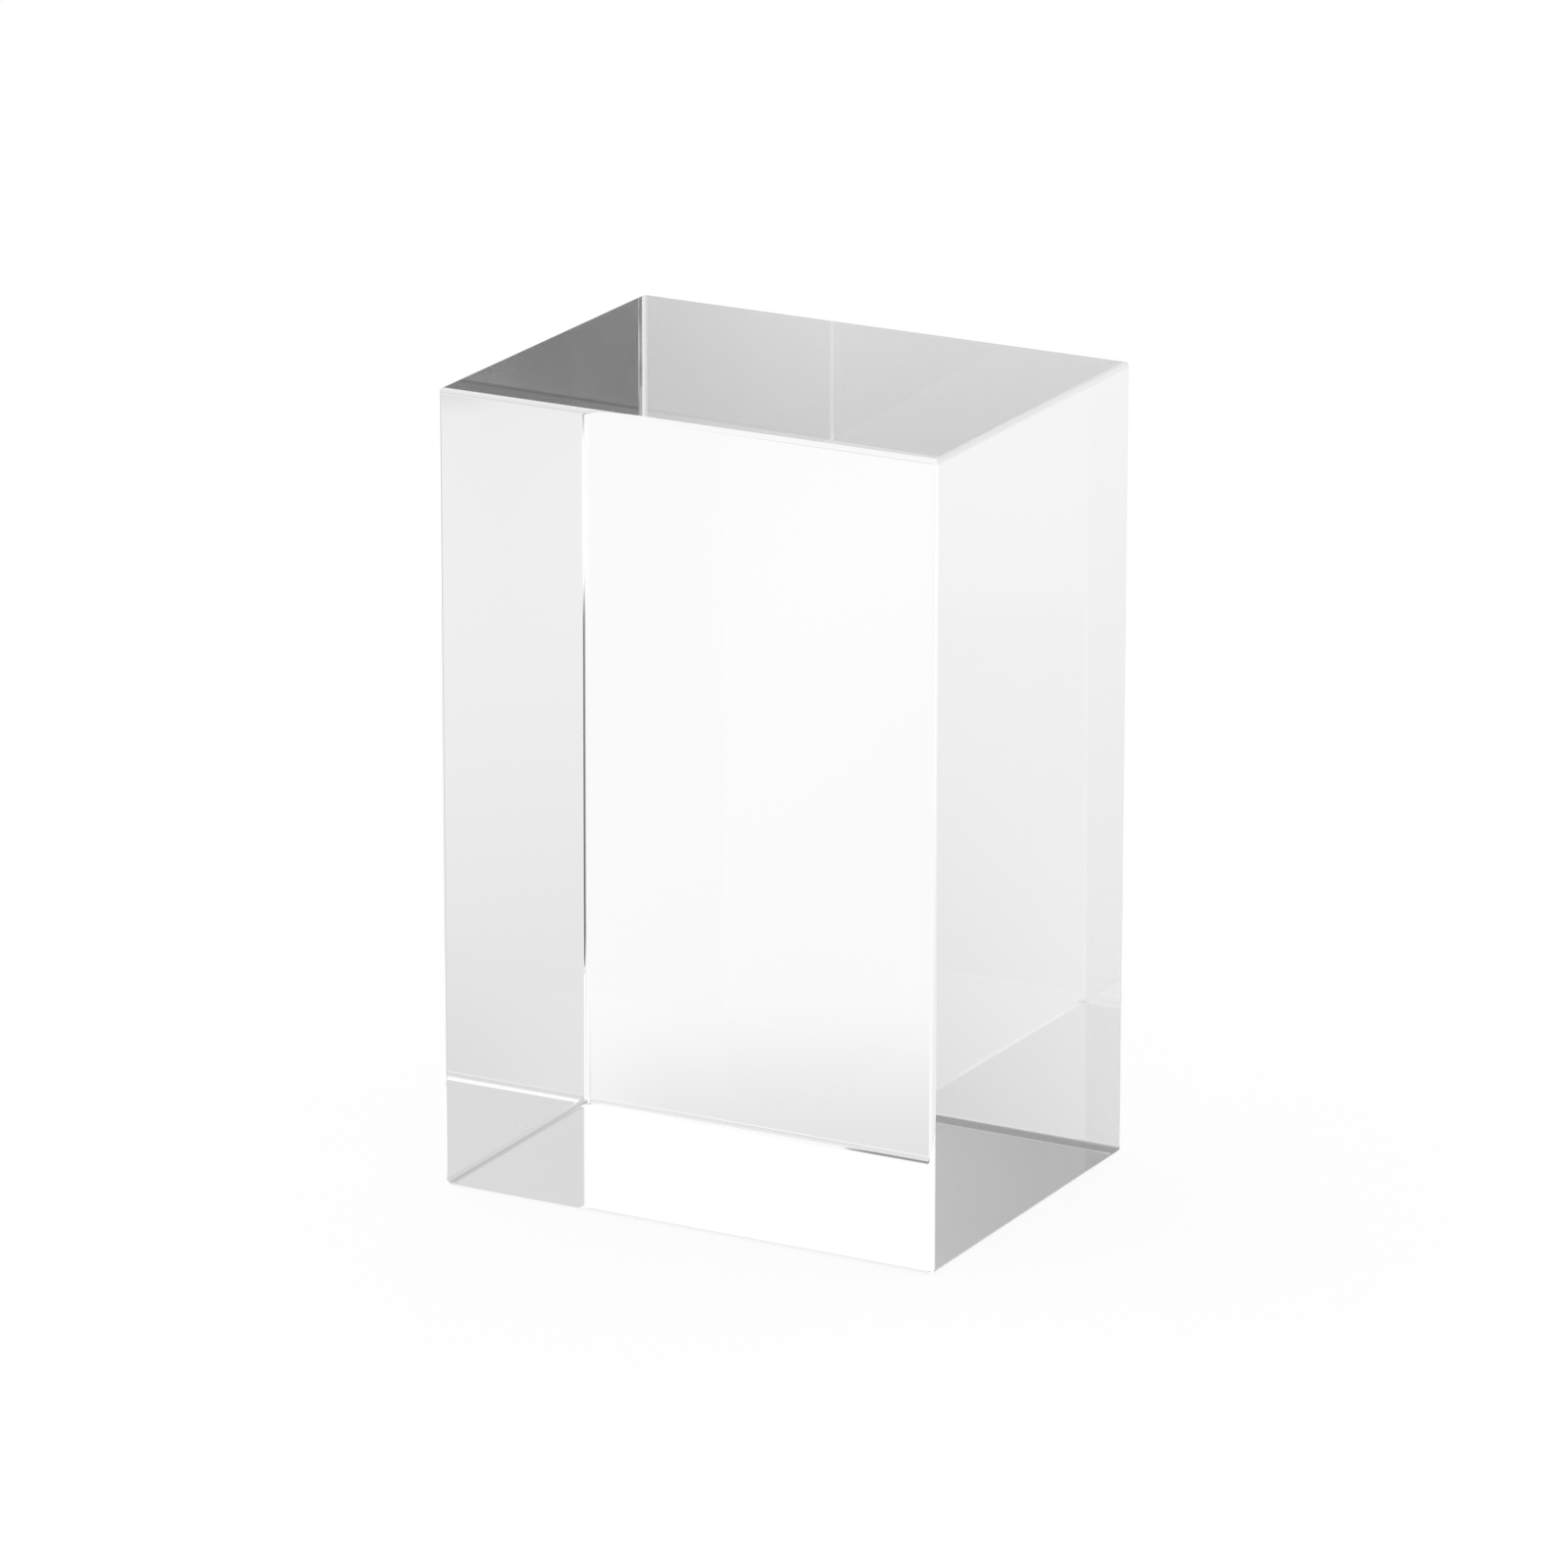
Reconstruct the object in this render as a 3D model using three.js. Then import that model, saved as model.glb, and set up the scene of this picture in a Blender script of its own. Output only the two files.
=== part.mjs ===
// A clear crystal photo block: one upright block of polished optical glass.
// Its twelve edges and eight corners are softly rounded, and they are polished like its faces.
// Millimetres, +Z up. The origin is the centre of the base, and the large front face looks along -Y.

import * as THREE from 'three';
import { ConvexGeometry } from 'three/addons/geometries/ConvexGeometry.js';

// Driving dimensions
const blockWidth = 80; // across the large face, along X
const blockDepth = 60; // front to back, along Y
const blockHeight = 120; // base to top, along Z
const edgeRadius = 0.75; // radius of the rounded edges and corners

// How many narrow flats stand for the quarter turn of a rounded edge
const flatsPerQuarter = 6;

// Polished optical glass: colourless, smooth and see-through
const crystalGlass = new THREE.MeshStandardMaterial({
  color: 0xf4f7f6,
  roughness: 0.02,
  metalness: 0,
  transparent: true,
  opacity: 0.35,
});

// Where the middle of each corner's round lies: one radius in from the three faces that meet there
function roundCentres() {
  const centres = [];
  for (const sideways of [-1, 1]) {
    for (const endways of [-1, 1]) {
      for (const upward of [-1, 1]) {
        centres.push(new THREE.Vector3(
          sideways * (blockWidth / 2 - edgeRadius),
          endways * (blockDepth / 2 - edgeRadius),
          upward * (blockHeight / 2 - edgeRadius),
        ));
      }
    }
  }
  return centres;
}

// The points of a ball about one of those centres. Its poles and its equator touch the planes of the faces.
function ballPoints(centre) {
  const ball = new THREE.SphereGeometry(edgeRadius, 4 * flatsPerQuarter, 2 * flatsPerQuarter);
  const places = ball.attributes.position;
  const points = [];
  for (let index = 0; index < places.count; index += 1) {
    points.push(new THREE.Vector3().fromBufferAttribute(places, index).add(centre));
  }
  return points;
}

// The block is the skin drawn tight over its eight corner balls: six flat faces, twelve rounded edges that
// run into the faces without a step, and corners where three rounds meet as part of a ball
function crystalBlock() {
  const block = new THREE.Mesh(new ConvexGeometry(roundCentres().flatMap(ballPoints)), crystalGlass);
  block.name = 'crystal_block';
  block.position.z = blockHeight / 2;
  return block;
}

const photoBlock = new THREE.Group();
photoBlock.add(crystalBlock());

export default photoBlock;
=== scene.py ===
import math
import bmesh
import bpy
import numpy as np
from mathutils import Matrix, Vector


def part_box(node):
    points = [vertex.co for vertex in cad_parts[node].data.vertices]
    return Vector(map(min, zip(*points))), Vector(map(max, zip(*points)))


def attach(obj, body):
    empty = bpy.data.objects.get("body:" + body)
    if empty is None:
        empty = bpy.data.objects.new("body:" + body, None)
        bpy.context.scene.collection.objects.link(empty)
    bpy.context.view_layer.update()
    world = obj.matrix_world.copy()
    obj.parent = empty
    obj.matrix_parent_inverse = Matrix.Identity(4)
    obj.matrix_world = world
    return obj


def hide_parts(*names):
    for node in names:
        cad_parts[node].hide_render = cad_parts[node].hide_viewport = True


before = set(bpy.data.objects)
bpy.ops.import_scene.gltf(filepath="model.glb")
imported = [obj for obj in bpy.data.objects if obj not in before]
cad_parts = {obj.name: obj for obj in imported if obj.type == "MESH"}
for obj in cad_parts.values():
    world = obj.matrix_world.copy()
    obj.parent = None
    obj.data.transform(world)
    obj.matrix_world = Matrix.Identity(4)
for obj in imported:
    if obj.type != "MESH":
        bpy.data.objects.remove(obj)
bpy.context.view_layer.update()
scene = bpy.context.scene
millimetresPerMetre = 1000
print("frame loaded")

# Camera

camera = {
    "azimuth": 28.332,  # degrees round from the front, towards +X
    "elevation": 17.5269,  # degrees above the horizon
    "roll": 0.0532,  # degrees
    "distance": 1.453955,  # metres from the middle of the block
    "lens": 231.35,  # millimetres
    "sensor": 36.0,  # millimetres
    "slide": (-0.000156, -0.001146),  # metres to the camera's right and up
    "nearest": 0.01,  # metres
    "furthest": 20.0,  # metres
}


def makeCamera(values, target):
    # It stands at the target plus the distance times (sin a cos e, -cos a cos e, sin e), a the azimuth and
    # e the elevation, and looks back along that line. Roll turns its right and up about the line, and the
    # slide then moves it along them.
    azimuth = math.radians(values["azimuth"])
    elevation = math.radians(values["elevation"])
    roll = math.radians(values["roll"])
    back = Vector((
        math.sin(azimuth) * math.cos(elevation),
        -math.cos(azimuth) * math.cos(elevation),
        math.sin(elevation),
    ))
    level = Vector((math.cos(azimuth), math.sin(azimuth), 0))
    upright = back.cross(level)
    right = level * math.cos(roll) + upright * math.sin(roll)
    up = upright * math.cos(roll) - level * math.sin(roll)
    slideRight, slideUp = values["slide"]
    place = target + back * values["distance"] + right * slideRight + up * slideUp
    data = bpy.data.cameras.new("camera")
    data.sensor_width = values["sensor"]
    data.lens = values["lens"]
    data.clip_start = values["nearest"]
    data.clip_end = values["furthest"]
    holder = bpy.data.objects.new("camera", data)
    holder.matrix_world = Matrix((
        (right.x, up.x, back.x, place.x),
        (right.y, up.y, back.y, place.y),
        (right.z, up.z, back.z, place.z),
        (0, 0, 0, 1),
    ))
    scene.collection.objects.link(holder)
    scene.camera = holder


lowCorner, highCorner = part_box("crystal_block")
makeCamera(camera, (lowCorner + highCorner) / 2)
print("camera placed")


# Node helpers

def linearColour(hexColour):
    # sRGB hex to linear: the low end is a straight line, the rest a power of 2.4
    parts = np.array([int(hexColour[i:i + 2], 16) for i in (1, 3, 5)]) / 255
    linear = np.where(parts <= 0.04045, parts / 12.92, ((parts + 0.055) / 1.055) ** 2.4)
    return (*linear, 1)


def addNode(tree, kind, settings=None, sockets=None):
    # A socket is given by its name or number, with a plain value or with the output that feeds it
    node = tree.nodes.new(kind)
    for name, value in (settings or {}).items():
        setattr(node, name, value)
    for name, value in (sockets or {}).items():
        if isinstance(value, bpy.types.NodeSocket):
            tree.links.new(value, node.inputs[name])
        else:
            node.inputs[name].default_value = value
    return node


def throughGlass(tree):
    # 1 for light that the block mirrors or lets through, 0 for what the camera sees past it
    path = addNode(tree, "ShaderNodeLightPath")
    return addNode(tree, "ShaderNodeMath", {"operation": "MAXIMUM"}, {
        0: path.outputs["Is Glossy Ray"], 1: path.outputs["Is Transmission Ray"],
    }).outputs[0]


# The block

block = {
    "edgeRadius": 0.000768,  # metres, matched to the bright lines that the edges make through the glass
    "roundSteps": 14,  # facets in a quarter turn of an edge
    "mergeWithin": 1e-7,  # metres, for the points that meet at each corner's pole
}


def roundedBlock(name, low, high, values):
    # A ball in eight parts, each moved out to its corner of the block. A point is its corner's centre plus
    # the radius times the outward direction (cos v cos u, cos v sin u, sin v), u around and v upward.
    steps = values["roundSteps"]
    radius = values["edgeRadius"]
    quarter = np.linspace(0, np.pi / 2, steps + 1)
    around = np.arange(4)[:, None] * np.pi / 2 + quarter
    aroundMiddle = np.repeat((np.arange(4) + 0.5) * np.pi / 2, steps + 1)
    upward = np.concatenate([quarter - np.pi / 2, quarter])
    upwardSign = np.repeat([-1.0, 1.0], steps + 1)
    u, v = np.meshgrid(around.ravel(), upward)
    outward = np.stack([np.cos(v) * np.cos(u), np.cos(v) * np.sin(u), np.sin(v)], axis=-1)
    middleOfU, signOfV = np.meshgrid(aroundMiddle, upwardSign)
    corner = np.stack([np.sign(np.cos(middleOfU)), np.sign(np.sin(middleOfU)), signOfV], axis=-1)
    low, high = np.array(low), np.array(high)
    inner = (high - low) / 2 - radius
    points = (low + high) / 2 + corner * inner + radius * outward
    rows, columns = u.shape
    here = np.arange(rows * columns).reshape(rows, columns)
    beside = np.roll(here, -1, axis=1)
    quads = np.stack([here[:-1], beside[:-1], beside[1:], here[1:]], axis=-1).reshape(-1, 4)
    # The caps join the four corners of the bottom row and of the top row
    cornerColumns = np.arange(4) * (steps + 1)
    caps = [here[0, cornerColumns[::-1]], here[-1, cornerColumns]]
    mesh = bpy.data.meshes.new(name)
    faces = [tuple(face) for face in np.concatenate([quads, caps]).tolist()]
    mesh.from_pydata(points.reshape(-1, 3).tolist(), [], faces)
    shape = bmesh.new()
    shape.from_mesh(mesh)
    bmesh.ops.remove_doubles(shape, verts=shape.verts, dist=values["mergeWithin"])
    shape.to_mesh(mesh)
    shape.free()
    # The normals are exact: from the nearest point of the inner box to the surface
    places = np.empty(len(mesh.vertices) * 3)
    mesh.vertices.foreach_get("co", places)
    places = places.reshape(-1, 3) - (low + high) / 2
    normals = (places - np.clip(places, -inner, inner)) / radius
    mesh.polygons.foreach_set("use_smooth", np.ones(len(mesh.polygons), bool))
    mesh.normals_split_custom_set_from_vertices(normals.tolist())
    holder = bpy.data.objects.new(name, mesh)
    scene.collection.objects.link(holder)
    return holder


# Optical crystal, ground flat and polished on a pitch lap

glass = {
    "colour": "#ffffff",  # colourless
    "indexOfRefraction": 1.2998,  # matched to the lines seen through the block; such glass is about 1.52
    "patchSize": 6.0,  # millimetres across a patch of the polish
    "patchDetail": 3.0,  # finer octaves of noise within a patch
    "patchRange": (0.35, 0.70),  # values of the noise at the sharpest polish and at the least sharp
    "leastSharp": 0.0036,  # roughness
    "waveSize": 18.0,  # millimetres across a wave
    "waveDetail": 0.0,  # finer octaves of noise within a wave
    "waveHeight": 2e-6,  # metres
}


def polishedCrystal(values):
    # The roughness is fine noise over the surface, from perfectly sharp up to the least sharp polish.
    # The bump is one smooth octave of noise, as wide as the lap's waves and two thousandths of a
    # millimetre high. Both are true to size, and too faint to see on so clear a block.
    material = bpy.data.materials.new("polished_optical_crystal")
    material.use_nodes = True
    tree = material.node_tree
    tree.nodes.clear()
    place = addNode(tree, "ShaderNodeTexCoord").outputs["Object"]
    patches = addNode(tree, "ShaderNodeTexNoise", sockets={
        "Vector": place,
        "Scale": millimetresPerMetre / values["patchSize"],
        "Detail": values["patchDetail"],
    })
    polish = addNode(tree, "ShaderNodeMapRange", sockets={
        "Value": patches.outputs[0],
        "From Min": values["patchRange"][0],
        "From Max": values["patchRange"][1],
        "To Min": 0.0,
        "To Max": values["leastSharp"],
    })
    waves = addNode(tree, "ShaderNodeTexNoise", sockets={
        "Vector": place,
        "Scale": millimetresPerMetre / values["waveSize"],
        "Detail": values["waveDetail"],
    })
    lapWave = addNode(tree, "ShaderNodeBump", sockets={
        "Height": waves.outputs[0], "Distance": values["waveHeight"],
    })
    shader = addNode(tree, "ShaderNodeBsdfPrincipled", sockets={
        "Base Color": linearColour(values["colour"]),
        "Roughness": polish.outputs[0],
        "IOR": values["indexOfRefraction"],
        "Normal": lapWave.outputs[0],
        "Transmission Weight": 1.0,
    })
    addNode(tree, "ShaderNodeOutputMaterial", sockets={"Surface": shader.outputs[0]})
    return material


piece = roundedBlock("crystal_block_polished", lowCorner, highCorner, block)
piece.data.materials.append(polishedCrystal(glass))
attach(piece, "root")
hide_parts("crystal_block")
print("block made:", len(piece.data.vertices), "points")

# Floor

floor = {
    "size": 6.0,  # metres across
    "below": 0.0002,  # metres under the block's base
    "litShare": 0.12,  # the part of the floor's white that the block's shadow can darken
    "ownShare": 0.88,  # the part that stays white
}


def paleFloor(values):
    # To the camera the floor is its own white plus a lit share, where a faint shadow falls. To light that
    # comes through the glass it is clear, so that the glass sees the cards below it.
    material = bpy.data.materials.new("pale_studio_floor")
    material.use_nodes = True
    tree = material.node_tree
    tree.nodes.clear()
    lit = addNode(tree, "ShaderNodeBsdfDiffuse", sockets={"Color": (*[values["litShare"]] * 3, 1)})
    own = addNode(tree, "ShaderNodeEmission", sockets={"Strength": values["ownShare"]})
    both = addNode(tree, "ShaderNodeAddShader", sockets={0: lit.outputs[0], 1: own.outputs[0]})
    clear = addNode(tree, "ShaderNodeBsdfTransparent")
    mixed = addNode(tree, "ShaderNodeMixShader", sockets={
        0: throughGlass(tree), 1: both.outputs[0], 2: clear.outputs[0],
    })
    addNode(tree, "ShaderNodeOutputMaterial", sockets={"Surface": mixed.outputs[0]})
    return material


def makeFloor(values):
    # One square, level, just under the block
    half = values["size"] / 2
    height = lowCorner.z - values["below"]
    mesh = bpy.data.meshes.new("floor")
    corners = [(-half, -half, height), (half, -half, height), (half, half, height), (-half, half, height)]
    mesh.from_pydata(corners, [], [(0, 1, 2, 3)])
    mesh.materials.append(paleFloor(values))
    holder = bpy.data.objects.new("floor", mesh)
    scene.collection.objects.link(holder)


makeFloor(floor)
print("floor laid")

# Studio: white to the camera, with cards all round that only the glass sees

studio = {
    "white": 1.0,  # brightness to the camera
    "walls": 0.871,  # brightness between the cards
    # A card's row is the azimuth of its middle from the front towards +X, the elevation of its middle,
    # half its width, half its height and its soft edge, all in degrees, then its brightness. A later row
    # covers an earlier one.
    "cards": [
        (74.7, -59.0, 48.1, 52.4, 33.1, 0.12),
        (195.3, 9.7, 40.3, 27.2, 4.0, 1.25),
        (287.9, 30.7, 43.5, 41.5, 17.2, 0.26),
        (212.4, 3.8, 8.0, 12.0, 0.3, 0.00),
        (155.3, 24.5, 8.2, 49.3, 39.7, 0.61),
        (298.7, -59.0, 12.2, 17.0, 26.3, 0.00),
        (210.2, -15.1, 66.3, 2.2, 5.5, 0.97),
        (224.2, 21.4, 35.4, 2.1, 4.6, 1.00),
        (197.1, 3.6, 11.9, 11.6, 2.2, 0.92),
        (275.4, -19.9, 13.0, 1.5, 8.5, 0.33),
        (311.8, 13.7, 21.4, 6.2, 0.6, 0.70),
        (226.6, -14.5, 30.9, 0.5, 0.3, 0.00),
        (215.1, -17.5, 6.6, 31.6, 2.1, 0.97),
        (186.4, -44.3, 22.5, 28.5, 3.9, 0.96),
        (178.6, 47.7, 33.3, 20.6, 21.2, 0.45),
        (12.7, -57.8, 53.9, 39.1, 0.3, 0.28),
        (81.1, -33.0, 36.7, 13.6, 2.9, 0.62),
        (4.5, -38.7, 13.6, 18.2, 0.6, 0.89),
        (181.5, -78.2, 179.9, 15.8, 3.0, 0.88),
        (326.1, -9.9, 36.2, 18.8, 4.9, 0.85),
        (203.4, -20.5, 6.1, 1.3, 1.1, 0.77),
        (150.0, -12.7, 1.3, 2.0, 7.0, 0.58),
        (68.5, 59.4, 9.2, 17.9, 4.9, 1.20),
        (84.8, -15.4, 11.0, 1.1, 0.3, 1.30),
        (147.1, 28.1, 2.0, 6.6, 3.8, 1.16),
        (146.1, -0.4, 3.8, 14.9, 0.3, 0.63),
        (155.0, -8.2, 3.9, 11.6, 1.3, 0.70),
        (206.0, -5.9, 2.4, 8.8, 2.2, 0.78),
        (179.8, -17.5, 8.5, 1.0, 0.3, 0.73),
        (55.7, -10.3, 18.1, 6.1, 0.3, 1.02),
        (62.1, -15.2, 33.6, 0.3, 0.3, 0.29),
        (89.6, 11.9, 21.6, 25.2, 9.7, 1.06),
        (231.7, -46.0, 8.1, 13.0, 2.6, 1.09),
        (170.0, -63.2, 16.3, 3.7, 1.3, 1.30),
        (288.5, 81.4, 3.1, 20.7, 1.6, 0.14),
        (148.7, -20.1, 1.3, 1.3, 1.1, 0.71),
    ],
}


def cardCover(tree, angle, middle, halfSize, softEdge):
    # 1 inside the card and 0 outside, easing across the soft edge. The angle is in radians, the rest in
    # degrees.
    away = addNode(tree, "ShaderNodeMath", {"operation": "SUBTRACT"}, {0: angle, 1: math.radians(middle)})
    # Folding at half a turn measures the shorter way round
    short = addNode(tree, "ShaderNodeMath", {"operation": "PINGPONG"}, {0: away.outputs[0], 1: math.pi})
    return addNode(tree, "ShaderNodeMapRange", {"interpolation_type": "SMOOTHSTEP"}, {
        "Value": short.outputs[0],
        "From Min": math.radians(halfSize + softEdge / 2),
        "From Max": math.radians(halfSize - softEdge / 2),
    }).outputs[0]


def makeStudio(values):
    # The brightness in a direction starts as the walls', and each card in turn mixes it towards its own, by
    # how far the card covers the azimuth times how far it covers the elevation
    world = bpy.data.worlds.new("studio")
    world.use_nodes = True
    tree = world.node_tree
    tree.nodes.clear()
    direction = addNode(tree, "ShaderNodeTexCoord").outputs["Generated"]
    x, y, z = addNode(tree, "ShaderNodeSeparateXYZ", sockets={0: direction}).outputs
    forward = addNode(tree, "ShaderNodeMath", {"operation": "MULTIPLY"}, {0: y, 1: -1.0}).outputs[0]
    around = addNode(tree, "ShaderNodeMath", {"operation": "ARCTAN2"}, {0: x, 1: forward}).outputs[0]
    upward = addNode(tree, "ShaderNodeMath", {"operation": "ARCSINE"}, {0: z}).outputs[0]
    brightness = values["walls"]
    for azimuth, elevation, halfWidth, halfHeight, softEdge, level in values["cards"]:
        cover = addNode(tree, "ShaderNodeMath", {"operation": "MULTIPLY"}, {
            0: cardCover(tree, around, azimuth, halfWidth, softEdge),
            1: cardCover(tree, upward, elevation, halfHeight, softEdge),
        }).outputs[0]
        brightness = addNode(tree, "ShaderNodeMix", {"data_type": "FLOAT"}, {
            0: cover, 2: brightness, 3: level,
        }).outputs[0]
    plain = addNode(tree, "ShaderNodeBackground", sockets={"Strength": values["white"]})
    carded = addNode(tree, "ShaderNodeBackground", sockets={"Strength": brightness})
    for light in (plain, carded):
        light.inputs["Color"].default_value = (1, 1, 1, 1)
    chosen = addNode(tree, "ShaderNodeMixShader", sockets={
        0: throughGlass(tree), 1: plain.outputs[0], 2: carded.outputs[0],
    })
    addNode(tree, "ShaderNodeOutputWorld", sockets={"Surface": chosen.outputs[0]})
    scene.world = world


makeStudio(studio)
print("studio lit")

scene.view_settings.view_transform = "Standard"
mostBounces = 24  # light crosses and mirrors inside the block many times before it leaves
for kind in ("max_bounces", "glossy_bounces", "transmission_bounces", "transparent_max_bounces"):
    setattr(scene.cycles, kind, mostBounces)
